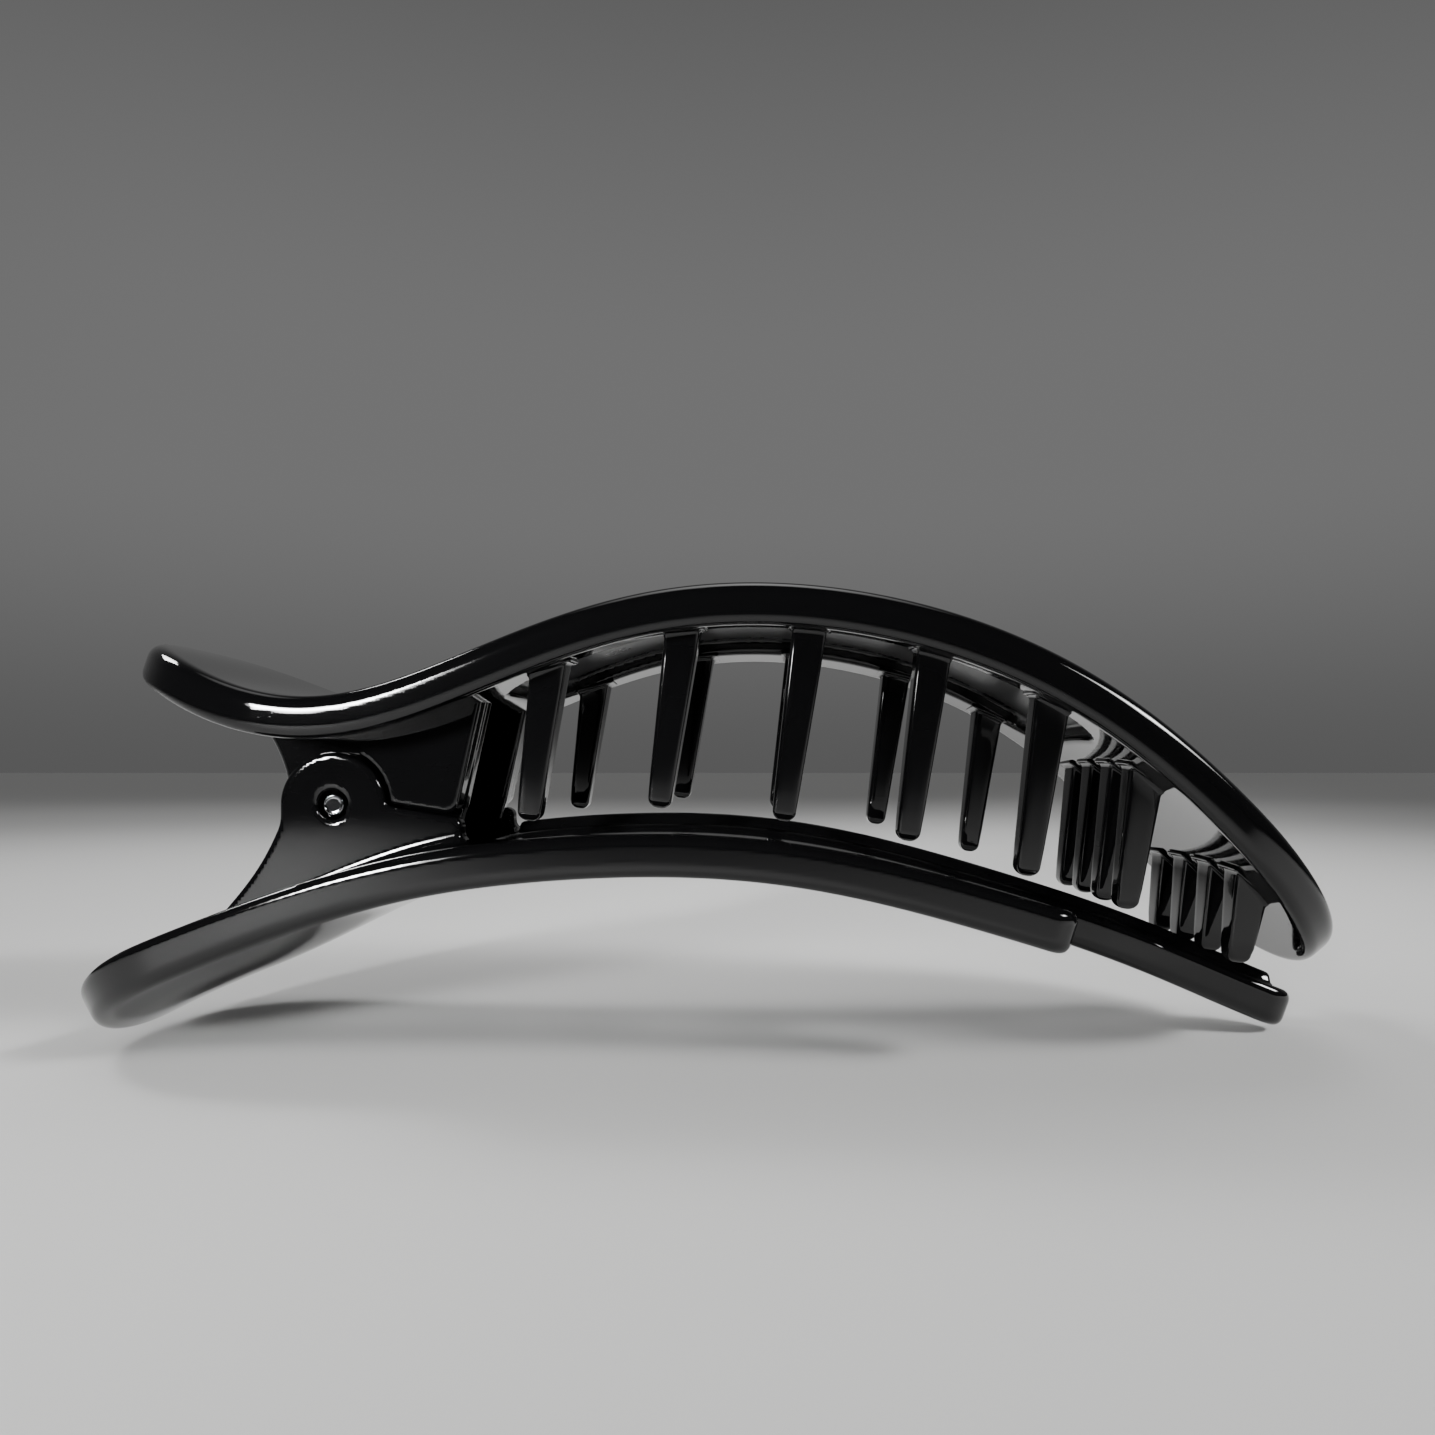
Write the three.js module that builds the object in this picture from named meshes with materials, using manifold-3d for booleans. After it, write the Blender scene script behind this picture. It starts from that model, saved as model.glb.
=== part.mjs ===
// Flat-lay claw clip for long hair: two plastic mouldings on a steel pin, sprung closed.
// Millimetres, +Z up. X runs from the finger handles (-X) to the tips (+X), Y across the clip.
// The clip is closed and stands on the lower handle's edge and the centre prong's tip, at Z = 0.

import * as THREE from 'three';
import { mergeVertices } from 'three/addons/utils/BufferGeometryUtils.js';
import Module from 'manifold-3d';

const wasm = await Module();
wasm.setup();

// ---- Driving dimensions ----

const HALF_WIDTH = 19;            // both jaws are 38 mm wide

// Upper jaw: handle, saddle over the hinge, long arch, rounded tip.
const UPPER_THICKNESS = 4.2;
const UPPER_SPINE = [             // middle of the thickness, at the side rims
  [-64.0, 42.3], [-54.2, 38.8], [-47.4, 36.2], [-40.0, 34.8], [-30.0, 36.6], [-20.0, 40.7],
  [-7.5, 44.5], [5.5, 45.7], [16.5, 44.5], [28.0, 40.9], [38.4, 35.5], [48.0, 27.7],
  [57.0, 18.1], [65.2, 8.4],
];
const UPPER_CROWN = 1.0;          // the arch is this much higher on its centre line
const UPPER_HANDLE = { end: -63.2, start: -43.5, power: 2.0 };   // plan of the rounded handle
const UPPER_TIP = { end: 66.6, start: 51.5, power: 2.0 };
const POCKET = { from: -23, to: 41, halfWidth: 12.5, depth: 2.0, corner: 6 };

// Teeth: tapered pegs that lean towards the hinge.
const TOOTH_LEAN = THREE.MathUtils.degToRad(7.9);
const TOOTH_ROOT_RADIUS = 1.75;
const TOOTH_TIP_RADIUS = 1.15;
const SIDE_ROW_Y = 14.2;
const SIDE_TIPS = [[-18.6, 24.6], [-5.6, 25.9], [6.8, 24.6], [19.2, 22.6], [31.1, 19.1]];
const CROSS_ROW_Y = [-10, -3.33, 3.33, 10];
const CROSS_TIPS = [[42.5, 15.2], [54.1, 9.6]];

// Lower jaw: handle, hinge walls, two short rails and a long centre prong.
const LOWER_THICKNESS = 4.3;
const LOWER_SPINE = [
  [-68.5, 4.64], [-62.0, 7.95], [-54.3, 11.4], [-49.6, 13.4], [-41.7, 16.1], [-32.5, 18.6],
  [-26.3, 20.0], [-16.0, 21.1], [-5.0, 21.4], [4.5, 20.85], [13.1, 19.65], [23.9, 17.0],
  [31.5, 14.5], [43.1, 11.0], [54.8, 6.1], [65.6, 1.85],
];
const LOWER_CROWN = 3.2;          // the handle's middle bulges down by this much
const LOWER_CROWN_FROM = -24;     // the bulge starts here and is full at LOWER_CROWN_FULL
const LOWER_CROWN_FULL = -50;
const LOWER_HANDLE = { end: -66.6, start: -53.5, power: 2.4 };
const FORK_ROOT = -22.5;          // where the rails and the prong part
const RAIL = { inner: 14, end: 35.2 };
const PRONG = { halfWidth: 3, end: 64.4 };
const RIB = { halfWidth: 1.25, height: 1.15, end: 62 };

// Hinge: ears of the upper jaw turn between the walls of the lower jaw.
const PIN = { x: -39.35, z: 26.1, radius: 1.2, halfLength: 11.8 };
const HOLE_RADIUS = 1.55;
const LUG_RADIUS = 5.4;           // rounded top of the lower walls, around the pin
const WALL = { inner: 10.0, outer: 12.2 };
const EAR = { inner: 7.7, outer: 9.7, front: 12.0 };
const EAR_ARC_GAP = 0.6;          // between a lug and the thick front of an ear

// Torsion spring around the pin, one leg to each handle.
const SPRING = {
  wire: 0.65, coil: 3.0, turns: 5, pitch: 1.6, lowerLeg: 17.5, upperLeg: 12.6,
  lowerLeaves: THREE.MathUtils.degToRad(-54.3), upperLeaves: THREE.MathUtils.degToRad(70.6),
};

const SPINE_STEPS = 48;           // facets along each jaw
const WIDTH_STEPS = 8;            // and across it

const PLASTIC = new THREE.MeshStandardMaterial({ color: 0x0b0b0c, roughness: 0.12, metalness: 0 });
const STEEL = new THREE.MeshStandardMaterial({ color: 0x8f9296, roughness: 0.3, metalness: 1 });

// ---- Solids and shapes ----

function solid(geometry) {
  const bare = geometry.clone();
  bare.deleteAttribute('normal');
  bare.deleteAttribute('uv');
  const merged = mergeVertices(bare, 1e-4);
  return new wasm.Manifold(new wasm.Mesh({
    numProp: 3,
    vertProperties: new Float32Array(merged.attributes.position.array),
    triVerts: new Uint32Array(merged.index.array),
  }));
}

function toGeometry(manifold) {
  const mesh = manifold.getMesh();
  const geometry = new THREE.BufferGeometry();
  geometry.setAttribute('position', new THREE.BufferAttribute(mesh.vertProperties, 3));
  geometry.setIndex(new THREE.BufferAttribute(mesh.triVerts, 1));
  geometry.computeVertexNormals();
  return geometry;
}

// A side view (x, z) given depth across the clip, from y0 to y1.
function sideExtrusion(shape, y0, y1, steps = 1) {
  const geometry = new THREE.ExtrudeGeometry(shape, {
    depth: y1 - y0, steps, bevelEnabled: false, curveSegments: 12,
  });
  return geometry.rotateX(Math.PI / 2).translate(0, y1, 0);
}

// A plan (x, y) given height, tall enough to pass through either jaw.
function planExtrusion(shape) {
  return new THREE.ExtrudeGeometry(shape, { depth: 80, bevelEnabled: false, curveSegments: 12 })
    .translate(0, 0, -20);
}

function spineCurve(points) {
  const nodes = points.map(([x, z]) => new THREE.Vector3(x, z, 0));
  return new THREE.CatmullRomCurve3(nodes, false, 'centripetal');
}

// A closed strip along a spine, between two offsets from it.
function strip(curve, low, high, samples) {
  const upper = [];
  const lower = [];
  for (let i = 0; i <= samples; i++) {
    const point = curve.getPointAt(i / samples);
    const tangent = curve.getTangentAt(i / samples);
    upper.push(new THREE.Vector2(point.x - high * tangent.y, point.y + high * tangent.x));
    lower.push(new THREE.Vector2(point.x - low * tangent.y, point.y + low * tangent.x));
  }
  return new THREE.Shape([...lower, ...upper.reverse()]);
}

// Height of a spine above the floor at x.
function spineHeight(curve, x) {
  let [before, after] = [0, 1];
  for (let i = 0; i < 24; i++) {
    const middle = (before + after) / 2;
    if (curve.getPointAt(middle).x < x) before = middle;
    else after = middle;
  }
  return curve.getPointAt(before).y;
}

// Half of a rounded end in plan, from the straight side (start) to the centre line (end).
function roundedEnd({ start, end, power }, count = 14) {
  return Array.from({ length: count + 1 }, (_, i) => {
    const angle = (i / count) * Math.PI / 2;
    const x = start + (end - start) * Math.sin(angle) ** (2 / power);
    return [x, HALF_WIDTH * Math.cos(angle) ** (2 / power)];
  });
}

const mirrored = (points) => points.map(([x, y]) => [x, -y]).reverse();
const outline = (points) => new THREE.Shape(points.map(([x, y]) => new THREE.Vector2(x, y)));
const bothSides = (piece) => piece.add(piece.mirror([0, 1, 0]));

// Raises or lowers a shape's middle, fading to nothing at its side rims.
function crown(geometry, amount) {
  const position = geometry.attributes.position;
  for (let i = 0; i < position.count; i++) {
    const across = 1 - (position.getY(i) / HALF_WIDTH) ** 2;
    position.setZ(i, position.getZ(i) + amount(position.getX(i)) * across);
  }
  return geometry;
}

const pinBore = solid(new THREE.CylinderGeometry(HOLE_RADIUS, HOLE_RADIUS, 2 * HALF_WIDTH, 24)
  .translate(PIN.x, 0, PIN.z));

// ---- Upper jaw ----

const upperCurve = spineCurve(UPPER_SPINE);
const upperCrown = (x) => UPPER_CROWN * THREE.MathUtils.smoothstep(x, -30, 0);

function upperPlate() {
  const profile = strip(upperCurve, -UPPER_THICKNESS / 2, UPPER_THICKNESS / 2, SPINE_STEPS);
  const plate = solid(crown(sideExtrusion(profile, -HALF_WIDTH, HALF_WIDTH, WIDTH_STEPS), upperCrown));
  const handle = roundedEnd(UPPER_HANDLE).reverse();
  const tip = roundedEnd(UPPER_TIP);
  const half = [...handle, ...tip.slice(0, -1)];
  return plate.intersect(solid(planExtrusion(outline([...half, [UPPER_TIP.end, 0], ...mirrored(half)]))));
}

// Shallow recess under the arch, which leaves a thinner plate inside the rims.
function upperPocket() {
  const low = -UPPER_THICKNESS / 2 - 1;
  const profile = strip(upperCurve, low, low + 1 + POCKET.depth, SPINE_STEPS);
  const recess = solid(crown(sideExtrusion(profile, -HALF_WIDTH, HALF_WIDTH, WIDTH_STEPS), upperCrown));
  const { from, to, halfWidth: w, corner } = POCKET;
  const plan = new THREE.Shape()
    .moveTo(from, -w).lineTo(to - corner, -w).quadraticCurveTo(to, -w, to, -w + corner)
    .lineTo(to, w - corner).quadraticCurveTo(to, w, to - corner, w).lineTo(from, w);
  return recess.intersect(solid(planExtrusion(plan)));
}

function tooth([tipX, tipZ], y) {
  const rootZ = spineHeight(upperCurve, tipX + 3) - 0.6;
  const length = (rootZ - tipZ) / Math.cos(TOOTH_LEAN);
  const profile = [
    [0, 0], [TOOTH_TIP_RADIUS * 0.6, 0.2], [TOOTH_TIP_RADIUS, 1.1], [TOOTH_ROOT_RADIUS, length], [0, length],
  ];
  const peg = new THREE.LatheGeometry(profile.map(([r, z]) => new THREE.Vector2(r, z)), 10);
  return solid(peg.rotateX(Math.PI / 2).rotateY(TOOTH_LEAN).translate(tipX, y, tipZ));
}

// Each ear is thin beside the lug and full depth in front of it. Its foot stops the clip closed.
function upperEars() {
  const thin = new THREE.Shape()
    .moveTo(-49.5, 36).quadraticCurveTo(-46.4, 32.5, PIN.x - 4.6, PIN.z + 1.95)
    .absarc(PIN.x, PIN.z, 5, THREE.MathUtils.degToRad(157), THREE.MathUtils.degToRad(285), false)
    .lineTo(-31.5, 21.3).lineTo(-27.3, 22.4).lineTo(-26.7, 25.3).lineTo(-24, 37.5).lineTo(-32, 36.2)
    .lineTo(-40, 34.8);
  const thick = new THREE.Shape()
    .absarc(PIN.x, PIN.z, LUG_RADIUS + EAR_ARC_GAP, THREE.MathUtils.degToRad(62), 0.02, true)
    .lineTo(-28.2, 25.4).quadraticCurveTo(-26.8, 25.1, -26.7, 26).lineTo(-24, 37.5)
    .lineTo(-32, 36.2).lineTo(PIN.x + 2.8, 35);
  return bothSides(solid(sideExtrusion(thin, EAR.inner, EAR.outer))
    .add(solid(sideExtrusion(thick, EAR.inner, EAR.front))));
}

function upperJaw() {
  let jaw = upperPlate().subtract(upperPocket()).add(upperEars());
  for (const tip of SIDE_TIPS) {
    for (const side of [-1, 1]) jaw = jaw.add(tooth(tip, side * SIDE_ROW_Y));
  }
  for (const tip of CROSS_TIPS) {
    for (const y of CROSS_ROW_Y) jaw = jaw.add(tooth(tip, y));
  }
  return toGeometry(jaw.subtract(pinBore));
}

// ---- Lower jaw ----

const lowerCurve = spineCurve(LOWER_SPINE);
const lowerCrown = (x) => -LOWER_CROWN * THREE.MathUtils.smoothstep(-x, -LOWER_CROWN_FROM, -LOWER_CROWN_FULL);

function lowerPlate() {
  const profile = strip(lowerCurve, -LOWER_THICKNESS / 2, LOWER_THICKNESS / 2, SPINE_STEPS);
  const plate = solid(crown(sideExtrusion(profile, -HALF_WIDTH, HALF_WIDTH, WIDTH_STEPS), lowerCrown));
  const railMiddle = (HALF_WIDTH + RAIL.inner) / 2;
  const railRadius = (HALF_WIDTH - RAIL.inner) / 2;
  const gapMiddle = (RAIL.inner + PRONG.halfWidth) / 2;
  const gapRadius = (RAIL.inner - PRONG.halfWidth) / 2;
  const quarter = Math.PI / 2;
  const plan = new THREE.Shape();
  roundedEnd(LOWER_HANDLE).reverse().forEach(([x, y]) => plan.lineTo(x, y));
  plan.absarc(RAIL.end - railRadius, railMiddle, railRadius, quarter, -quarter, true);
  plan.absarc(FORK_ROOT + gapRadius, gapMiddle, gapRadius, quarter, 3 * quarter, false);
  plan.absarc(PRONG.end - PRONG.halfWidth, 0, PRONG.halfWidth, quarter, -quarter, true);
  plan.absarc(FORK_ROOT + gapRadius, -gapMiddle, gapRadius, quarter, 3 * quarter, false);
  plan.absarc(RAIL.end - railRadius, -railMiddle, railRadius, quarter, -quarter, true);
  roundedEnd(LOWER_HANDLE).forEach(([x, y]) => plan.lineTo(x, -y));
  return plate.intersect(solid(planExtrusion(plan)));
}

// Raised rib along the top of the centre prong.
function lowerRib() {
  const top = LOWER_THICKNESS / 2;
  const profile = strip(lowerCurve, 0, top + RIB.height, SPINE_STEPS);
  const bounds = outline([[FORK_ROOT, -RIB.halfWidth], [RIB.end, -RIB.halfWidth],
    [RIB.end, RIB.halfWidth], [FORK_ROOT, RIB.halfWidth]]);
  return solid(sideExtrusion(profile, -2, 2)).intersect(solid(planExtrusion(bounds)));
}

function lowerWalls() {
  const wall = new THREE.Shape()
    .moveTo(-52, 13.4).quadraticCurveTo(-45.6, 20, PIN.x - LUG_RADIUS, PIN.z)
    .absarc(PIN.x, PIN.z, LUG_RADIUS, Math.PI, -0.05, true)
    .lineTo(-26.6, 24.8).lineTo(-26.1, 24.4).lineTo(-26.1, 20.4).lineTo(-34, 18.4).lineTo(-42, 15.4);
  return bothSides(solid(sideExtrusion(wall, WALL.inner, WALL.outer)));
}

function lowerJaw() {
  return toGeometry(lowerPlate().add(lowerRib()).add(lowerWalls()).subtract(pinBore));
}

// ---- Pin and spring ----

function hingePin() {
  return new THREE.CylinderGeometry(PIN.radius, PIN.radius, 2 * PIN.halfLength, 24);
}

// Wire path: in along the lower leg, round the coil, out along the upper leg.
function springGeometry() {
  const { wire, coil, turns, pitch, lowerLeaves, upperLeaves, lowerLeg, upperLeg } = SPRING;
  const sweep = turns * 2 * Math.PI + upperLeaves - lowerLeaves;
  const width = pitch * sweep / (2 * Math.PI);
  const count = Math.round(sweep / (Math.PI / 6));
  const points = [];
  for (let i = 0; i <= count; i++) {
    const angle = lowerLeaves + sweep * i / count;
    points.push(new THREE.Vector3(
      coil * Math.cos(angle), width * (i / count - 0.5), coil * Math.sin(angle)));
  }
  const legPoint = (from, angle, length) => from.clone()
    .add(new THREE.Vector3(-length * Math.sin(angle), 0, length * Math.cos(angle)));
  const [first, last] = [points[0], points[count]];
  for (const part of [1 / 3, 2 / 3, 1]) {
    points.unshift(legPoint(first, lowerLeaves, -lowerLeg * part));
    points.push(legPoint(last, upperLeaves, upperLeg * part));
  }
  const path = new THREE.CatmullRomCurve3(points, false, 'centripetal');
  const section = outline(Array.from({ length: 8 }, (_, i) => [
    wire * Math.cos(i * Math.PI / 4), wire * Math.sin(i * Math.PI / 4)]));
  return new THREE.ExtrudeGeometry(section, { steps: count + 14, extrudePath: path, bevelEnabled: false });
}

// ---- The clip ----

const clip = new THREE.Group();

function addPiece(name, geometry, material) {
  const mesh = new THREE.Mesh(geometry, material);
  mesh.name = name;
  clip.add(mesh);
  return mesh;
}

addPiece('upper_jaw', upperJaw(), PLASTIC.clone());
addPiece('lower_jaw', lowerJaw(), PLASTIC.clone());
addPiece('hinge_pin', hingePin(), STEEL.clone()).position.set(PIN.x, 0, PIN.z);
addPiece('torsion_spring', springGeometry(), STEEL.clone()).position.set(PIN.x, 0, PIN.z);

export default clip;
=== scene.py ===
"""Looks of the flat-lay claw clip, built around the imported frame.

The jaws are injection mouldings. Distance fields in millimetres describe the upper plate, its ears,
and the lower plate with its rib and walls, with small fillets in the corners. A fine mesh is drawn on
each field's zero surface. The upper jaw's teeth are lofted into its plate, the pin is turned and the
spring is swept. All sizes are in the frame's axes.
"""

import math

import bpy
import numpy as np
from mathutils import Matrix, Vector
from numpy.polynomial import Chebyshev


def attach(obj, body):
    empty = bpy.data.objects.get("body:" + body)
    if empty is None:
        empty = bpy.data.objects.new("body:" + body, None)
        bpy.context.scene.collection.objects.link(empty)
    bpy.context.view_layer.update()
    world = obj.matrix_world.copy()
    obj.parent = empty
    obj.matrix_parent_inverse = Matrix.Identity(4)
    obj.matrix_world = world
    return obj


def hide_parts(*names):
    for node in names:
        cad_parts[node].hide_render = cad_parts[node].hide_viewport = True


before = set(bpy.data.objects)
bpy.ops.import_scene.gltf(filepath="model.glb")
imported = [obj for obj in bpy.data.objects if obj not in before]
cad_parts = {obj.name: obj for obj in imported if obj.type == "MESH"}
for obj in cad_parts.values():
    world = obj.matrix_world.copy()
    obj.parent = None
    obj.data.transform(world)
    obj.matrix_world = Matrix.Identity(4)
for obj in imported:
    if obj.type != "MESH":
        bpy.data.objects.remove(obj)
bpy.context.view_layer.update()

MM = 0.001
COARSER = 1.0
UPPER_CELL = 0.40 * COARSER                # mesh spacing, mm
LOWER_CELL = 0.335 * COARSER
EAR_CELL = 0.24 * COARSER
UPPER_BOX = (-66, 0, 6), (69, 20.5, 51)    # corners of the half that is sampled, mm
LOWER_BOX = (-69.5, 0, -2), (67, 20.5, 34)
EAR_BOX = (-54, 0, 18), (-22, 13.5, 42)

# ---- Sizes, in mm ----

HALF_WIDTH = 19.0

UPPER_THICKNESS = 4.2
UPPER_SPINE = [                            # (x, z) along the middle of the plate, from handle to tip
    (-64.0, 42.3), (-54.2, 38.8), (-47.4, 36.2), (-40.0, 34.8), (-30.0, 36.6), (-20.0, 40.7),
    (-7.5, 44.5), (5.5, 45.7), (16.5, 44.5), (28.0, 40.9), (38.4, 35.5), (48.0, 27.7),
    (57.0, 18.1), (65.2, 8.4),
]
UPPER_CROWN = 1.0
UPPER_CROWN_SPAN = (-30, 0)                # x where the crown starts and where it is full
UPPER_HANDLE_END = (-62.6, -43.5, 2.0)     # x of the end, x where the rounding starts, roundness
UPPER_TIP_END = (65.4, 51.5, 2.0)
UPPER_ROUNDS = (1.8, 1.4)                  # edge rounding above and below
ROUND_POWER = 2.6                          # how gently the plates' edge roundings start
POCKET = {"from": -23.0, "to": 41.0, "half_width": 12.5, "depth": 2.0, "corner": 6.0}

TOOTH_LEAN = math.radians(7.9)
TOOTH_ROOT = 1.72                          # half widths
TOOTH_TIP = 1.18
TOOTH_EDGE = 0.38                          # radius along the tooth's four edges
TOOTH_NOSE = 1.05                          # radius round the tip
TOOTH_FILLET = 0.55                        # radius at the root
TOOTH_SINK = 0.3                           # how far a tooth reaches into the plate
SIDE_ROW_Y = 14.2                          # rows are on both sides; tips are (x, z)
SIDE_TIPS = [(-18.6, 24.6), (-5.6, 25.9), (6.8, 24.6), (19.2, 22.6), (31.1, 19.1)]
CROSS_ROW_Y = (3.33, 10.0)
CROSS_TIPS = [(42.5, 15.2), (54.1, 9.6)]

LOWER_THICKNESS = 4.3
LOWER_SPINE = [
    (-68.5, 4.64), (-62.0, 7.95), (-54.3, 11.4), (-49.6, 13.4), (-41.7, 16.1), (-32.5, 18.6),
    (-26.3, 20.0), (-16.0, 21.1), (-5.0, 21.4), (4.5, 20.85), (13.1, 19.65), (23.9, 17.0),
    (31.5, 14.5), (43.1, 11.0), (54.8, 6.1), (65.6, 1.85),
]
LOWER_CROWN = 3.2
LOWER_CROWN_SPAN = (-24.0, -50.0)          # x where the crown starts and where it is full
LOWER_HANDLE_END = (-66.2, -53.5, 2.4)
LOWER_ROUNDS = (1.3, 1.5)
FORK_ROOT = -22.5                          # x where the gaps beside the prong start
RAIL_INNER, RAIL_END = 14.0, 35.2          # y of a rail's inner side, x of its end
PRONG_HALF, PRONG_END = 3.0, 64.2          # half width, x of the end
RIB_RADIUS, RIB_HEIGHT, RIB_END = 1.25, 1.15, 61.5

PIN_X, PIN_Z, PIN_RADIUS, PIN_HALF = -39.35, 26.1, 1.2, 11.8
HOLE_RADIUS = 1.55
LUG_RADIUS = 5.4
WALL = (10.0, 12.2)                        # inner and outer faces, from the middle
WALL_EDGE = 0.55                           # edge rounding
WALL_REAR, WALL_FRONT = -52.0, -26.1
WALL_REAR_ARC = (-60.0, 28.2, 15.2)        # hollow rear edge: centre's x and z, radius
WALL_TOP = ((-33.0, 25.85), (-26.6, 24.8))     # edge lines, from one (x, z) to another
WALL_TAIL = ((-53.5, 11.0), (-49.6, 17.5))
WALL_SINK = 1.5                            # how far the walls reach below the plate's middle
EAR_THIN = (7.7, 9.7)
EAR_THICK = (7.7, 12.0)
EAR_EDGE = 0.45
EAR_REAR_ARC = (-60.2, 25.2, 15.5)
EAR_FRONT = ((-24.0, 37.5), (-26.7, 25.3))
EAR_FOOT = ((-27.3, 22.4), (-39.35, 21.1))
EAR_STEP = ((-27.0, 25.15), (-33.0, 26.15))    # lower edge of the thick part, above the lower wall
EAR_BOTTOM_RADIUS = 5.0
EAR_ARC_RADIUS, EAR_ARC_START = 5.8, 2.6   # clears the lug, from this far in front of the pin
SPRING = {"wire": 0.65, "coil": 3.0, "turns": 5, "pitch": 1.6, "lower_leg": 17.5, "upper_leg": 12.6,
          "lower_leaves": math.radians(-54.3), "upper_leaves": math.radians(70.6),
          "upper_share": math.radians(60), "overlap": math.radians(50)}


# ---- Distance fields, negative inside; the last number of a blend is its size in mm ----

def rounded_and(a, b, r, power=2):
    """Where both fields are inside, the corner between them rounded; a power above 2 starts it gently."""
    u, v = a + r, b + r
    corner = (np.maximum(u, 0) ** power + np.maximum(v, 0) ** power) ** (1 / power)
    return np.minimum(np.maximum(u, v), 0) + corner - r


def blend_or(a, b, k):
    """Where either field is inside, with a fillet of radius about 0.8 k in the corner between them."""
    h = np.maximum(k - np.abs(a - b), 0) / k
    return np.minimum(a, b) - h * h * k / 4


def blend_and(a, b, k):
    return -blend_or(-a, -b, k)


def disc(x, z, centre_x, centre_z, radius):
    return np.hypot(x - centre_x, z - centre_z) - radius


def half_plane(x, z, start, end):
    """Negative on the right of the line from start to end."""
    along_x, along_z = end[0] - start[0], end[1] - start[1]
    length = math.hypot(along_x, along_z)
    return ((z - start[1]) * along_x - (x - start[0]) * along_z) / length


def in_front_of_hollow(x, z, centre_x, centre_z, radius):
    """Negative in front of a hollow rear edge, an arc about a point behind the clip's walls."""
    return np.maximum(-disc(x, z, centre_x, centre_z, radius), WALL_REAR - x)


class Spine:
    """A jaw's side view: height as one smooth function of x, with distance and length along it."""

    def __init__(self, points, degree):
        x, z = np.array(points).T
        run = np.array([2.0, 4.0])
        before = z[0] - run * (z[1] - z[0]) / (x[1] - x[0])
        after = z[-1] + run * (z[-1] - z[-2]) / (x[-1] - x[-2])
        xs = np.concatenate([x[0] - run[::-1], x, x[-1] + run])
        zs = np.concatenate([before[::-1], z, after])
        self.low, self.high = xs[0], xs[-1]
        self.height = Chebyshev.fit(xs, zs, degree, domain=[self.low, self.high])
        self.slope = self.height.deriv()
        self.bend = self.slope.deriv()
        fine = np.linspace(self.low, self.high, 801)
        steps = np.sqrt(1 + self.slope(fine) ** 2)
        run_length = np.concatenate([[0], np.cumsum((steps[1:] + steps[:-1]) / 2 * np.diff(fine))])
        self.length = Chebyshev.fit(fine, run_length, 24, domain=[self.low, self.high])

    def near(self, x, z):
        """Length along the spine at the nearest point, and the distance above it."""
        t = np.clip(x, self.low, self.high)
        for _ in range(5):
            up, slope = z - self.height(t), self.slope(t)
            stiff = np.maximum(1 + slope * slope - up * self.bend(t), 0.3)
            t = np.clip(t + ((x - t) + up * slope) / stiff, self.low, self.high)
        slope, up = self.slope(t), z - self.height(t)
        stretch = np.sqrt(1 + slope * slope)
        return self.length(t) + ((x - t) + up * slope) / stretch, (up - (x - t) * slope) / stretch


def smoothstep(value, low, high):
    t = np.clip((value - low) / (high - low), 0, 1)
    return t * t * (3 - 2 * t)


def end_plan(s, y, spine, end):
    """Plan of a jaw towards one rounded end: straight sides, then a part of a superellipse."""
    end_x, start_x, power = end
    start, reach = spine.length(start_x), spine.length(end_x) - spine.length(start_x)
    u = np.maximum((s - start) / reach, 0)
    v = y / HALF_WIDTH
    g = np.maximum((u ** power + v ** power) ** (1 / power), 1e-3)
    steep = np.hypot((u / g) ** (power - 1) / reach, (v / g) ** (power - 1) / HALF_WIDTH)
    return (g - 1) / np.maximum(steep, 1e-3)


def slab(distance, plan, thickness, rounds):
    above = rounded_and(distance - thickness / 2, plan, rounds[0], ROUND_POWER)
    return np.maximum(above, rounded_and(-distance - thickness / 2, plan, rounds[1], ROUND_POWER))


def slice_across(outline, y, faces, round_radius):
    """A side outline with depth from faces[0] to faces[1] across the clip, edges rounded."""
    middle, half = (faces[0] + faces[1]) / 2, (faces[1] - faces[0]) / 2
    return rounded_and(outline, np.abs(y - middle) - half, round_radius)


UPPER = Spine(UPPER_SPINE, 11)
LOWER = Spine(LOWER_SPINE, 11)


def mid_height(spine, x):
    return spine.height(np.clip(x, spine.low, spine.high))


def crown(x, y, height, span):
    """How far a plate's middle stands out from its sides, which grows along a span of x."""
    return height * smoothstep(x, *span) * (1 - (y / HALF_WIDTH) ** 2)


def above_upper(x, y, z):
    """Length along the upper jaw, and the distance above the middle of its crowned plate."""
    return UPPER.near(x, z - crown(x, y, UPPER_CROWN, UPPER_CROWN_SPAN))


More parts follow.
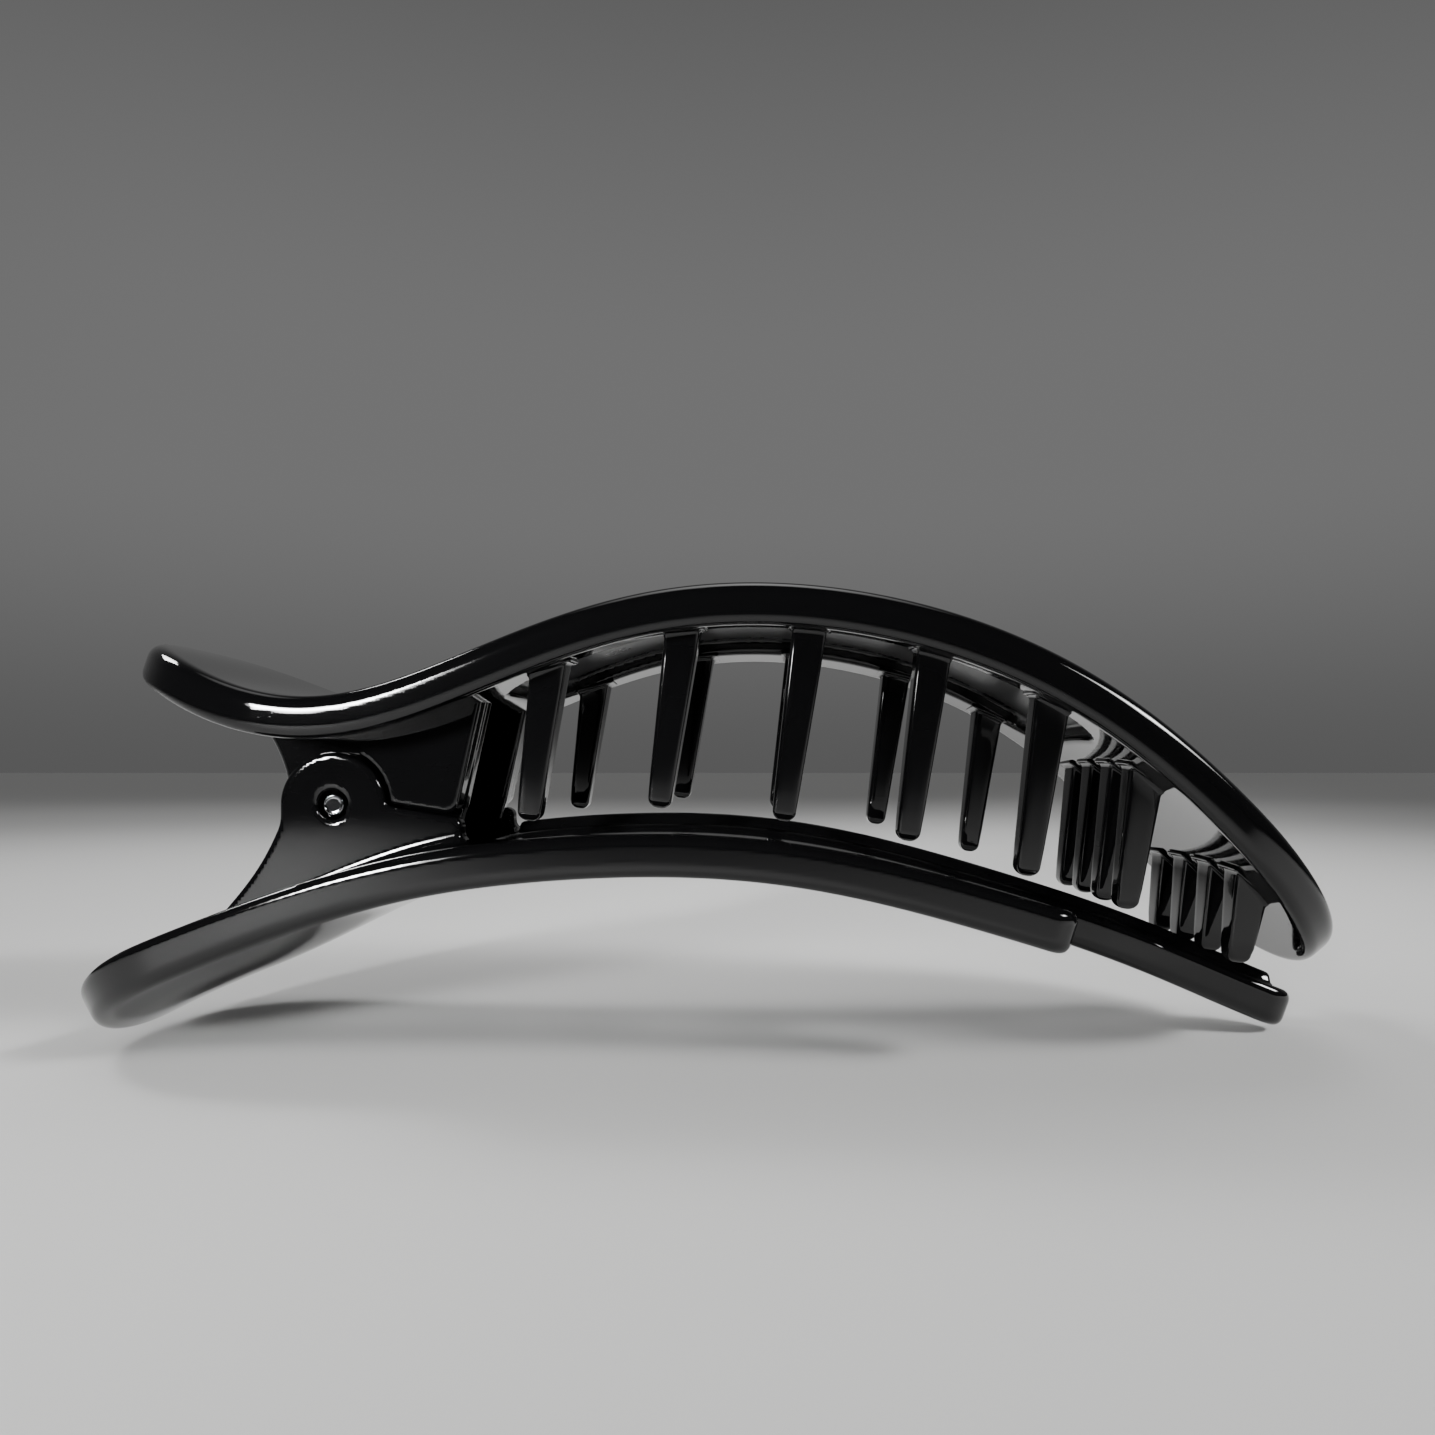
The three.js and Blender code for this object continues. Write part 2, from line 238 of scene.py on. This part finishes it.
def ears_field(x, y, z):
    """Hinge ears: thin between the lower walls, thick above and in front of them."""
    y = np.abs(y)
    front = half_plane(x, z, *EAR_FRONT)
    rear = in_front_of_hollow(x, z, *EAR_REAR_ARC)
    foot = half_plane(x, z, *EAR_FOOT)
    round_bottom = disc(x, z, PIN_X, PIN_Z, EAR_BOTTOM_RADIUS)
    bottom = np.where(x > PIN_X, foot, np.where(z > PIN_Z, -EAR_BOTTOM_RADIUS, round_bottom))
    thin = blend_and(blend_and(front, rear, 0.6), bottom, 0.8)
    step = half_plane(x, z, *EAR_STEP)
    arc = np.maximum(-disc(x, z, PIN_X, PIN_Z, EAR_ARC_RADIUS), PIN_X + EAR_ARC_START - x)
    thick = blend_and(blend_and(front, step, 1.2), arc, 0.6)
    top = z - mid_height(UPPER, x)
    both = blend_or(slice_across(np.maximum(thin, top), y, EAR_THIN, EAR_EDGE),
                    slice_across(np.maximum(thick, top), y, EAR_THICK, EAR_EDGE), 0.5)
    return blend_and(both, -disc(x, z, PIN_X, PIN_Z, HOLE_RADIUS), 0.4)


def upper_field(x, y, z):
    """Upper jaw's plate, with its pocket cut in from below."""
    y = np.abs(y)
    s, above = above_upper(x, y, z)
    plan = np.where(s > UPPER.length(0.0), end_plan(s, y, UPPER, UPPER_TIP_END),
                    end_plan(s, y, UPPER, UPPER_HANDLE_END))
    start, stop = UPPER.length(POCKET["from"]), UPPER.length(POCKET["to"])
    along = np.abs(s - (start + stop) / 2) - (stop - start) / 2
    pocket = rounded_and(along, y - POCKET["half_width"], POCKET["corner"])
    ceiling = above + UPPER_THICKNESS / 2 - POCKET["depth"]
    plate = slab(above, plan, UPPER_THICKNESS, UPPER_ROUNDS)
    return blend_and(plate, -rounded_and(pocket, ceiling, 0.5), 0.7)


def satin_and_painted_sheen_share(x, y, z):
    """1 on the satin ceiling of the upper jaw's recess, which is also painted a paler grey as a sheen, 0
    elsewhere.
    """
    depth = mid_height(UPPER, x) - z
    edge, highest, lowest = 0.3, -1.5, 0.75    # the crown lifts the ceiling
    inside = (x > POCKET["from"]) & (x < POCKET["to"]) & (np.abs(y) < POCKET["half_width"] - edge)
    return (inside & (depth > highest) & (depth < lowest)).astype(float)


def fork_plan(s, y):
    """Plan of the lower jaw: full width behind the fork, then two rails beside the centre prong."""
    gap_middle = (RAIL_INNER + PRONG_HALF) / 2
    gap_radius = (RAIL_INNER - PRONG_HALF) / 2
    gap_start = LOWER.length(FORK_ROOT) + gap_radius
    rail_middle, rail_half = (HALF_WIDTH + RAIL_INNER) / 2, (HALF_WIDTH - RAIL_INNER) / 2
    from_gap_middle = np.where(s > gap_start, np.abs(y - gap_middle),
                               np.hypot(s - gap_start, y - gap_middle))
    body = np.maximum(end_plan(s, y, LOWER, LOWER_HANDLE_END), -(from_gap_middle - gap_radius))
    rail_stop = LOWER.length(RAIL_END) - rail_half
    prong_stop = LOWER.length(PRONG_END) - PRONG_HALF
    rail = np.where(s > rail_stop, np.hypot(s - rail_stop, y - rail_middle) - rail_half, body)
    prong = np.where(s > prong_stop, np.hypot(s - prong_stop, y) - PRONG_HALF, body)
    return np.where(y > gap_middle, rail, prong)


def walls(x, y, z):
    """Hinge walls: a sheet on each side that rises to a round lug about the pin."""
    top = half_plane(x, z, *WALL_TOP)
    rear = in_front_of_hollow(x, z, *WALL_REAR_ARC)
    tail = half_plane(x, z, *WALL_TAIL)
    sheet = blend_and(blend_and(x - WALL_FRONT, top, 0.9), blend_and(rear, tail, 2.5), 0.6)
    outline = blend_or(sheet, disc(x, z, PIN_X, PIN_Z, LUG_RADIUS), 0.8)
    foot = mid_height(LOWER, x) - WALL_SINK
    return slice_across(np.maximum(outline, foot - z), y, WALL, WALL_EDGE)


def lower_field(x, y, z):
    """Lower jaw: forked plate, the rib on its prong, and the hinge walls."""
    y = np.abs(y)
    s, above = LOWER.near(x, z + crown(x, y, LOWER_CROWN, LOWER_CROWN_SPAN))
    field = slab(above, fork_plan(s, y), LOWER_THICKNESS, LOWER_ROUNDS)
    top = LOWER_THICKNESS / 2
    ends = np.maximum(s - LOWER.length(RIB_END), LOWER.length(FORK_ROOT) - s)
    rib = np.hypot(y, above - top - RIB_HEIGHT + RIB_RADIUS) - RIB_RADIUS
    field = blend_or(field, rounded_and(rib, ends, 0.5), 0.6)
    field = blend_or(field, walls(x, y, z), 1.4)
    return blend_and(field, -disc(x, z, PIN_X, PIN_Z, HOLE_RADIUS), 0.5)


# ---- Meshing a field ----

def sampled_grid(field, low, high, cell):
    """Field values on a grid that is mirrored about y = 0, exact only near the surface."""
    axes = [np.arange(low[0], high[0] + cell, cell), np.arange(0, high[1] + cell, cell),
            np.arange(low[2], high[2] + cell, cell)]
    step = 4                               # cells between the coarse samples
    margin = 1.3                           # coarse steps each side of the surface that are made exact
    coarse_axes = [axis[::step] for axis in axes]
    coarse = field(*np.meshgrid(*coarse_axes, indexing="ij"))
    pick = [np.minimum((np.arange(len(axis)) + step // 2) // step, len(short) - 1)
            for axis, short in zip(axes, coarse_axes)]
    values = coarse[np.ix_(*pick)]
    close = np.abs(values) < cell * step * margin
    x, y, z = np.meshgrid(*axes, indexing="ij")
    values[close] = field(x[close], y[close], z[close])
    values = np.concatenate([values[:, :0:-1], values], axis=1)
    return values, np.array([axes[0][0], -axes[1][-1], axes[2][0]])


def surface_nets(values, origin, cell):
    """One vertex in each cell that the surface crosses, and a quad across each crossed grid edge."""
    inside = values < 0
    shape = np.array(values.shape) - 1
    total, count = np.zeros((*shape, 3)), np.zeros(shape)
    for axis in range(3):
        others = [a for a in range(3) if a != axis]
        for i in (0, 1):
            for j in (0, 1):
                at = [None] * 3
                at[others[0]] = slice(i, i + shape[others[0]])
                at[others[1]] = slice(j, j + shape[others[1]])
                first, second = list(at), list(at)
                first[axis], second[axis] = slice(0, shape[axis]), slice(1, shape[axis] + 1)
                a, b = values[tuple(first)], values[tuple(second)]
                crossed = (a < 0) != (b < 0)
                share = np.where(crossed, a / np.where(crossed, a - b, 1), 0)
                total[..., axis] += share
                total[..., others[0]] += i * crossed
                total[..., others[1]] += j * crossed
                count += crossed
    active = count > 0
    index = np.full(shape, -1)
    index[active] = np.arange(active.sum())
    points = (np.argwhere(active) + total[active] / count[active][:, None]) * cell + origin
    quads = []
    for axis in range(3):
        after, last = (axis + 1) % 3, (axis + 2) % 3
        ends = [slice(None)] * 3
        starts = [slice(None)] * 3
        starts[axis], ends[axis] = slice(0, -1), slice(1, None)
        a, b = inside[tuple(starts)], inside[tuple(ends)]
        where = np.argwhere(a != b)
        where = where[(where[:, after] > 0) & (where[:, last] > 0)
                      & (where[:, after] < shape[after]) & (where[:, last] < shape[last])]
        corner = []
        for da, dl in ((1, 1), (0, 1), (0, 0), (1, 0)):
            cell_at = where.copy()
            cell_at[:, after] -= da
            cell_at[:, last] -= dl
            corner.append(index[tuple(cell_at.T)])
        quad = np.stack(corner, 1)
        outward = a[tuple(where.T)]
        quad[~outward] = quad[~outward][:, ::-1]
        quads.append(quad)
    return points, np.concatenate(quads)


def gradient(field, points, step=0.02):
    slopes = [(field(*(points + step * way).T) - field(*(points - step * way).T)) / (2 * step)
              for way in np.eye(3)]
    return np.stack(slopes, 1)


def unit_normals(field, points):
    slope = gradient(field, points)
    return slope / np.maximum(np.linalg.norm(slope, axis=1), 1e-6)[:, None]


def onto_surface(field, points, rounds):
    """Newton steps along the gradient, to where the field is zero."""
    flattest, longest = 0.2, 0.4           # limits on the squared slope and on a step
    for _ in range(rounds):
        slope = gradient(field, points)
        move = field(*points.T) / np.maximum((slope ** 2).sum(1), flattest)
        points = points - np.clip(move, -longest, longest)[:, None] * slope
    return points


def evened(field, points, quads, rounds):
    """Slides the vertices along the surface towards the middle of their neighbours."""
    share = 0.6                            # of the way, each round
    edges = np.concatenate([quads[:, [0, 1]], quads[:, [1, 2]], quads[:, [2, 3]], quads[:, [3, 0]]])
    for _ in range(rounds):
        total, count = np.zeros_like(points), np.zeros(len(points))
        for a, b in ((0, 1), (1, 0)):
            for axis in range(3):
                total[:, axis] += np.bincount(edges[:, a], points[edges[:, b], axis], len(points))
            count += np.bincount(edges[:, a], minlength=len(points))
        normal = unit_normals(field, points)
        move = total / count[:, None] - points
        points = points + share * (move - (move * normal).sum(1)[:, None] * normal)
        points = onto_surface(field, points, 1)
    return points


def moulding(name, field, low, high, cell):
    """A mesh of the field's zero surface, between two corners, shaded with the field's own normals."""
    values, origin = sampled_grid(field, low, high, cell)
    points, quads = surface_nets(values, origin, cell)
    points = onto_surface(field, points, 3)
    points = evened(field, points, quads, 3)
    points = onto_surface(field, points, 2)
    piece = new_piece(name, points, quads)
    piece.data.normals_split_custom_set_from_vertices(unit_normals(field, points).tolist())
    return piece


def new_piece(name, points, faces):
    """A smooth-shaded object from points in mm."""
    mesh = bpy.data.meshes.new(name)
    mesh.from_pydata((np.asarray(points) * MM).tolist(), [], [list(map(int, face)) for face in faces])
    # marks the pocket's satin ceiling, where the plastic is also painted a paler grey as a sheen
    satin_and_painted_sheen = mesh.attributes.new("satin_and_painted_sheen", "FLOAT", "POINT")
    satin_and_painted_sheen.data.foreach_set("value", satin_and_painted_sheen_share(*np.asarray(points).T))
    mesh.polygons.foreach_set("use_smooth", np.ones(len(mesh.polygons), bool))
    piece = bpy.data.objects.new(name, mesh)
    bpy.context.scene.collection.objects.link(piece)
    return piece


# ---- Lofts: teeth, pin and spring ----

def loft_faces(rings, count, first=0):
    """Quads between rings of count points each, with a face over each end."""
    faces = []
    for ring in range(rings - 1):
        for i in range(count):
            a, b = first + ring * count + i, first + ring * count + (i + 1) % count
            faces.append((a, b, b + count, a + count))
    faces.append(range(first + count - 1, first - 1, -1))
    last = first + (rings - 1) * count
    faces.append(range(last, last + count))
    return faces


def tooth_section(half):
    """Points round a rounded square with half width half, anticlockwise, finer round its corners."""
    flat, turn = 4, 5                      # steps along a side and round a corner
    centre = half - TOOTH_EDGE
    points = []
    for corner in range(4):
        start = corner * math.pi / 2
        spin = np.array([[math.cos(start), -math.sin(start)], [math.sin(start), math.cos(start)]])
        for i in range(turn + 1):
            angle = math.pi / 2 * i / turn
            points.append(spin @ (centre + TOOTH_EDGE * math.cos(angle),
                                  centre + TOOTH_EDGE * math.sin(angle)))
        for i in range(1, flat):
            points.append(spin @ (centre * (1 - 2 * i / flat), half))
    return np.array(points)


def scaled_section(half):
    """Section points where each has its own half width."""
    base = tooth_section(TOOTH_ROOT)
    outward = np.sign(base) * np.minimum(np.abs(base) / (TOOTH_ROOT - TOOTH_EDGE), 1)
    return base + outward * (half - TOOTH_ROOT)[:, None]


def tooth(tip, across):
    """Rings of one tooth, from its tip into the plate's underside, with a fillet at the root."""
    lean_x, lean_z = math.sin(TOOTH_LEAN), math.cos(TOOTH_LEAN)
    under_plate = -UPPER_THICKNESS / 2

    def place(up, section):
        side, wide = section.T
        return np.stack([tip[0] + up * lean_x + side * lean_z, across + wide,
                         tip[1] + up * lean_z - side * lean_x], 1)

    def root_height(section):
        """How far up the tooth each line along it meets the plate."""
        root_x, rounds, share = tip[0] + 3, 12, 0.8    # first guess, then steps towards the plate
        length = (float(UPPER.height(root_x)) + under_plate - tip[1]) / lean_z
        up = np.full(len(section), length)
        for _ in range(rounds):
            x, y, z = place(up, section).T
            up = up + share * (under_plate - above_upper(x, y, z)[1])
        return up

    def half_width(up):
        return TOOTH_TIP + (TOOTH_ROOT - TOOTH_TIP) * (up / root)

    root = root_height(tooth_section(TOOTH_ROOT))
    rings = []
    for angle in np.radians(np.linspace(8, 90, 8)):
        inset, up = TOOTH_NOSE * (1 - math.sin(angle)), TOOTH_NOSE * (1 - math.cos(angle))
        rings.append(place(np.full(len(root), up), tooth_section(TOOTH_TIP) * (1 - inset / TOOTH_TIP)))
    for part in np.linspace(0, 1, 9)[1:]:
        up = TOOTH_NOSE + (root - TOOTH_FILLET - TOOTH_NOSE) * part
        rings.append(place(up, scaled_section(half_width(up))))
    for angle in np.radians(np.linspace(0, 90, 8))[1:]:
        up = root - TOOTH_FILLET * (1 - math.sin(angle))
        half = half_width(up) + TOOTH_FILLET * (1 - math.cos(angle))
        rings.append(place(up, scaled_section(half)))
    rings.append(place(root + TOOTH_SINK, scaled_section(half)))
    return rings


def teeth():
    """Both side rows, then the two rows across the tip."""
    points, faces = [], []
    places = [(tip, SIDE_ROW_Y) for tip in SIDE_TIPS]
    places += [(tip, across) for tip in CROSS_TIPS for across in CROSS_ROW_Y]
    for tip, across in places:
        for side in (-1, 1):
            rings = tooth(tip, side * across)
            faces += loft_faces(len(rings), len(rings[0]), len(points))
            points += [point for ring in rings for point in ring]
    return new_piece("upper_jaw_teeth", points, faces)


def pin():
    """Straight pin, each end a shallow dish inside a rolled lip."""
    end = [(PIN_RADIUS * part, inward) for part, inward in (
        (0.2, 0.12), (0.5, 0.12), (0.66, 0.12), (0.69, 0.11), (0.72, 0.07), (0.75, 0.02), (0.78, 0.0),
        (0.82, 0.02), (0.87, 0.07), (0.92, 0.15), (0.96, 0.25), (0.99, 0.36), (1.0, 0.48), (1.0, 0.7))]
    profile = [(radius, -PIN_HALF + inward) for radius, inward in end]
    profile += [(PIN_RADIUS, PIN_HALF * part) for part in (-0.6, -0.2, 0.2, 0.6)]
    profile += [(radius, PIN_HALF - inward) for radius, inward in reversed(end)]
    sides = 48
    turns = [2 * math.pi * i / sides for i in range(sides)]
    points = [(PIN_X + radius * math.cos(turn), y, PIN_Z + radius * math.sin(turn))
              for radius, y in profile for turn in turns]
    faces = [list(face)[::-1] for face in loft_faces(len(profile), sides)]
    return new_piece("hinge_pin_turned", points, faces)


def wire(name, path, radius):
    """Round wire along a path, its ends slightly broken."""
    path = np.array(path)
    ahead = np.gradient(path, axis=0)
    ahead /= np.linalg.norm(ahead, axis=1)[:, None]
    sides, end_share = 16, 0.75
    across = np.cross(ahead[0], (0, 1, 0))
    points = []
    for i, (point, direction) in enumerate(zip(path, ahead)):
        across = across - direction * (across @ direction)
        across /= np.linalg.norm(across)
        other = np.cross(direction, across)
        size = radius * (end_share if i in (0, len(path) - 1) else 1)
        for k in range(sides):
            angle = 2 * math.pi * k / sides
            points.append(point + size * (math.cos(angle) * across + math.sin(angle) * other))
    return new_piece(name, points, loft_faces(len(path), sides))


def spring_paths():
    """The spring's path, cut in its last turn: the first part stays with the lower jaw."""
    lower_angle, upper_angle = SPRING["lower_leaves"], SPRING["upper_leaves"]
    sweep = SPRING["turns"] * 2 * math.pi + upper_angle - lower_angle
    width = SPRING["pitch"] * sweep / (2 * math.pi)

    def coil_point(angle):
        along = (angle - lower_angle) / sweep - 0.5
        return np.array([PIN_X + SPRING["coil"] * math.cos(angle), width * along,
                         PIN_Z + SPRING["coil"] * math.sin(angle)])

    def leg(angle, turns_on, length):
        start = coil_point(angle + turns_on)
        way = np.array([-math.sin(angle), 0, math.cos(angle)])
        fine = [0.02] + [i / 12 for i in range(1, 12)] + [0.985, 1.0]
        return [start + way * length * part for part in fine]

    step, end = math.radians(9), lower_angle + sweep
    split = end - SPRING["upper_share"]
    coil = np.arange(lower_angle, split, step)
    rest = np.arange(split - SPRING["overlap"], end, step)
    lower_leg = leg(lower_angle, 0, -SPRING["lower_leg"])[::-1]
    upper_leg = leg(upper_angle, SPRING["turns"] * 2 * math.pi, SPRING["upper_leg"])
    return lower_leg + [coil_point(a) for a in coil], [coil_point(a) for a in rest] + upper_leg


# ---- Materials ----

def feed(tree, node, inputs):
    """Sets a node's sockets, by name or number, to constants or to other nodes' outputs."""
    for socket, value in inputs.items():
        if isinstance(value, bpy.types.NodeSocket):
            tree.links.new(value, node.inputs[socket])
        else:
            node.inputs[socket].default_value = value


def add(tree, kind, inputs=None, **settings):
    node = tree.nodes.new(kind)
    for name, value in settings.items():
        setattr(node, name, value)
    feed(tree, node, inputs or {})
    return node


def ramp(tree, value, start, stop, first=0.0, last=1.0, way="LINEAR"):
    """A value carried from the range start to stop to the range first to last."""
    inputs = {"Value": value, "From Min": start, "From Max": stop, "To Min": first, "To Max": last}
    return add(tree, "ShaderNodeMapRange", inputs, interpolation_type=way).outputs["Result"]


def noise(tree, place, scale, detail=2):
    inputs = {"Vector": place, "Scale": scale, "Detail": detail}
    return add(tree, "ShaderNodeTexNoise", inputs).outputs["Fac"]


def calculate(tree, operation, *values):
    return add(tree, "ShaderNodeMath", dict(enumerate(values)), operation=operation).outputs["Value"]


def object_place(tree):
    return add(tree, "ShaderNodeTexCoord").outputs["Object"]


def relief_normal(tree, height, strength, distance):
    inputs = {"Height": height, "Strength": strength, "Distance": distance}
    return add(tree, "ShaderNodeBump", inputs).outputs["Normal"]


def new_material(name):
    material = bpy.data.materials.new(name)
    material.use_nodes = True
    return material, material.node_tree, material.node_tree.nodes["Principled BSDF"]


def hairlines(tree, place, turn, stretch):
    """Sparse fine marks in one direction: a stretched noise cut off near its peaks."""
    inputs = {"Vector": place, "Rotation": (turn, turn * 0.7, turn * 1.3), "Scale": stretch}
    stretched = add(tree, "ShaderNodeMapping", inputs).outputs["Vector"]
    faintest, deepest = 0.67, 0.80
    return ramp(tree, noise(tree, stretched, 1, 1), faintest, deepest)


def gloss_black_plastic():
    """Polished black moulding: mottled gloss, orange peel, handling marks, and satin in the pocket,
    painted a paler grey there as a sheen.
    """
    material, tree, shader = new_material("gloss_black_plastic")
    place = object_place(tree)
    satin_and_painted_sheen = add(tree, "ShaderNodeAttribute", attribute_name="satin_and_painted_sheen").outputs["Fac"]
    mottle, peel = noise(tree, place, 60, 5), noise(tree, place, 420)
    peel_height, satin_roughness = 0.12, 0.24
    gloss = ramp(tree, mottle, 0.3, 0.75, 0.03, 0.065)
    # painted sheen: the pocket's colour is a paler grey, standing in for light reflected in its satin
    # ceiling
    painted_sheen_tone = add(tree, "ShaderNodeMix", data_type="RGBA")
    factor, polished, pocket, mixed = 0, 6, 7, 2    # sockets of a colour mix
    feed(tree, painted_sheen_tone, {factor: satin_and_painted_sheen, polished: (0.0022, 0.0022, 0.0024, 1),
                      pocket: (0.06, 0.06, 0.061, 1)})
    height = calculate(tree, "MULTIPLY", peel, peel_height)
    for turn, stretch in ((0.5, (160, 2900, 1400)), (1.9, (1500, 240, 3100)), (2.7, (2600, 1100, 200))):
        height = calculate(tree, "ADD", height, hairlines(tree, place, turn, stretch))
    feed(tree, shader, {"IOR": 1.52, "Base Color": painted_sheen_tone.outputs[mixed],
                        "Roughness": calculate(tree, "MULTIPLY_ADD", satin_and_painted_sheen, satin_roughness, gloss),
                        "Normal": relief_normal(tree, height, 0.3, 0.000004)})
    return material


def steel():
    """Drawn and polished steel with a fine grain."""
    material, tree, shader = new_material("steel")
    grain = noise(tree, object_place(tree), 900)
    feed(tree, shader, {"Base Color": (0.26, 0.265, 0.275, 1), "Metallic": 1,
                        "Roughness": ramp(tree, grain, 0.0, 1.0, 0.04, 0.085),
                        "Normal": relief_normal(tree, grain, 0.25, 0.00001)})
    return material


FINISHES = {"gloss_black_plastic": gloss_black_plastic(), "steel": steel()}

# ---- Pieces ----

upper_plate = moulding("upper_jaw_moulding", upper_field, *UPPER_BOX, UPPER_CELL)
lower_plate = moulding("lower_jaw_moulding", lower_field, *LOWER_BOX, LOWER_CELL)
upper_ears = moulding("upper_jaw_ears", ears_field, *EAR_BOX, EAR_CELL)
lower_path, upper_path = spring_paths()
inner_wire = SPRING["wire"] * 0.99         # runs inside the coil's end, where the two overlap
for piece, body, node, finish in (
        (upper_plate, "upper", "upper_jaw", "gloss_black_plastic"),
        (upper_ears, "upper", "upper_jaw", "gloss_black_plastic"),
        (teeth(), "upper", "upper_jaw", "gloss_black_plastic"),
        (lower_plate, "lower", "lower_jaw", "gloss_black_plastic"),
        (pin(), "lower", "hinge_pin", "steel"),
        (wire("torsion_spring_coil", lower_path, SPRING["wire"]), "lower", "torsion_spring", "steel"),
        (wire("torsion_spring_leg", upper_path, inner_wire), "upper", "torsion_spring", "steel")):
    piece.data.materials.append(FINISHES[finish])
    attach(piece, body)
    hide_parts(node)

# ---- Floor, light and camera, in metres ----

# the floor's glow is painted light, a pool round the clip, and its dimming under the clip is a painted
# shadow
FLOOR_HALF = 3
GLOW_MIDDLE = (0, 0.11, 0)
GLOW_FADE = (0.10, 0.45, 0.14, 0.09)       # distances from the middle, strengths there
PAINTED_SHADOW_SHAPE = (0.42, 1, 1)                 # shrinks x, as the painted shadow under the clip is long
PAINTED_SHADOW_FADE = (0.012, 0.065, 0.15, 1.0)     # painted shadow: distances from the origin, shares of the glow there
FRONT_FADE = (-0.35, -0.10)                # y where the glow starts and where it is full
BACK_FADE = (0.0, 0.85, 0.03, 0.17)        # the world, by the y of a direction: strengths
OVERHEAD_FADE = (0.35, 0.9, 1.0, 0.35)     # by its z: shares of the strength
HORIZON_FADE = (-0.02, 0.25, 0.6, 1.0)
CAMERA_PLACE = (0.0045, -0.1164, 0.0304)   # level, square to the clip's side
LEVEL = (math.pi / 2, 0, 0)
SOFTBOXES = (    # name, place, target, spread in degrees, sizes and powers of the nested boxes
    ("left_softbox", (-0.62, 0.34, 0.64), (0, 0.08, 0), 45, (((0.22, 0.22), 0.3),)),
    ("right_softbox", (0.675, -0.31, 0.51), (0.02, 0.06, 0), 45,
     (((0.20, 0.07), 0.16), ((0.34, 0.12), 0.22), ((0.46, 0.19), 0.25))),
    ("overhead_softbox", (0.0, 0.40, 0.85), (0, 0.14, 0), 50, (((1.0, 0.8), 0.5),)),
    ("front_left_softbox", (-0.365, -0.67, 0.18), (-0.045, -0.019, 0.040), 15,
     (((0.11, 0.19), 0.15), ((0.19, 0.21), 0.035), ((0.34, 0.23), 0.01))),
)

scene = bpy.context.scene


def smooth_ramp(tree, value, fade):
    return ramp(tree, value, *fade, way="SMOOTHSTEP")


def floor():
    """Pale floor that glows softly behind and beside the clip as painted light, with a painted shadow
    under the clip and less glow in front.
    """
    corners = [(x * FLOOR_HALF, y * FLOOR_HALF, 0) for x, y in ((-1, -1), (1, -1), (1, 1), (-1, 1))]
    mesh = bpy.data.meshes.new("floor")
    mesh.from_pydata(corners, [], [(0, 1, 2, 3)])
    piece = bpy.data.objects.new("floor", mesh)
    scene.collection.objects.link(piece)
    material, tree, shader = new_material("floor")
    place = object_place(tree)
    reach = add(tree, "ShaderNodeVectorMath", {0: place, 1: GLOW_MIDDLE}, operation="DISTANCE")
    narrow = add(tree, "ShaderNodeVectorMath", {0: place, 1: PAINTED_SHADOW_SHAPE}, operation="MULTIPLY")
    painted_shadow_distance = add(tree, "ShaderNodeVectorMath", {0: narrow.outputs["Vector"]}, operation="LENGTH")
    depth = add(tree, "ShaderNodeSeparateXYZ", {"Vector": place}).outputs["Y"]
    glow = smooth_ramp(tree, reach.outputs["Value"], GLOW_FADE)
    # dims the glow in a painted shadow under the clip, and towards the front
    for value, fade in ((painted_shadow_distance.outputs["Value"], PAINTED_SHADOW_FADE), (depth, FRONT_FADE)):
        glow = calculate(tree, "MULTIPLY", glow, smooth_ramp(tree, value, fade))
    feed(tree, shader, {"Base Color": (0.6, 0.6, 0.595, 1), "Roughness": 0.7,
                        "Emission Color": (1, 1, 0.99, 1), "Emission Strength": glow})
    mesh.materials.append(material)


def softbox(name, place, target, size, power, spread):
    """Rectangular light aimed at a target; a spread below 180 degrees keeps it off the rest."""
    light = bpy.data.lights.new(name, "AREA")
    light.shape = "RECTANGLE"
    light.size, light.size_y = size
    light.energy = power
    light.spread = math.radians(spread)
    piece = bpy.data.objects.new(name, light)
    piece.location = place
    piece.rotation_euler = (Vector(target) - Vector(place)).to_track_quat("-Z", "Y").to_euler()
    scene.collection.objects.link(piece)


def studio_world():
    """Pale studio wall behind the clip, darker towards the camera, overhead and at the horizon."""
    world = bpy.data.worlds.new("studio")
    world.use_nodes = True
    tree = world.node_tree
    place = add(tree, "ShaderNodeTexCoord").outputs["Generated"]
    way = add(tree, "ShaderNodeSeparateXYZ", {"Vector": place}).outputs
    strength = smooth_ramp(tree, way["Y"], BACK_FADE)
    for fade in (OVERHEAD_FADE, HORIZON_FADE):
        strength = calculate(tree, "MULTIPLY", strength, smooth_ramp(tree, way["Z"], fade))
    feed(tree, tree.nodes["Background"], {"Color": (1, 1, 1, 1), "Strength": strength})
    scene.world = world


floor()
for name, place, target, spread, nested in SOFTBOXES:
    for size, power in nested:
        softbox(name, place, target, size, power, spread)
studio_world()

camera = bpy.data.objects.new("camera", bpy.data.cameras.new("camera"))
camera.location = CAMERA_PLACE
camera.rotation_euler = LEVEL
camera.data.sensor_width = 36
camera.data.lens = 25.54
camera.data.shift_x = -0.0296
camera.data.shift_y = 0.0317
camera.data.clip_start = 0.005
scene.collection.objects.link(camera)
scene.camera = camera
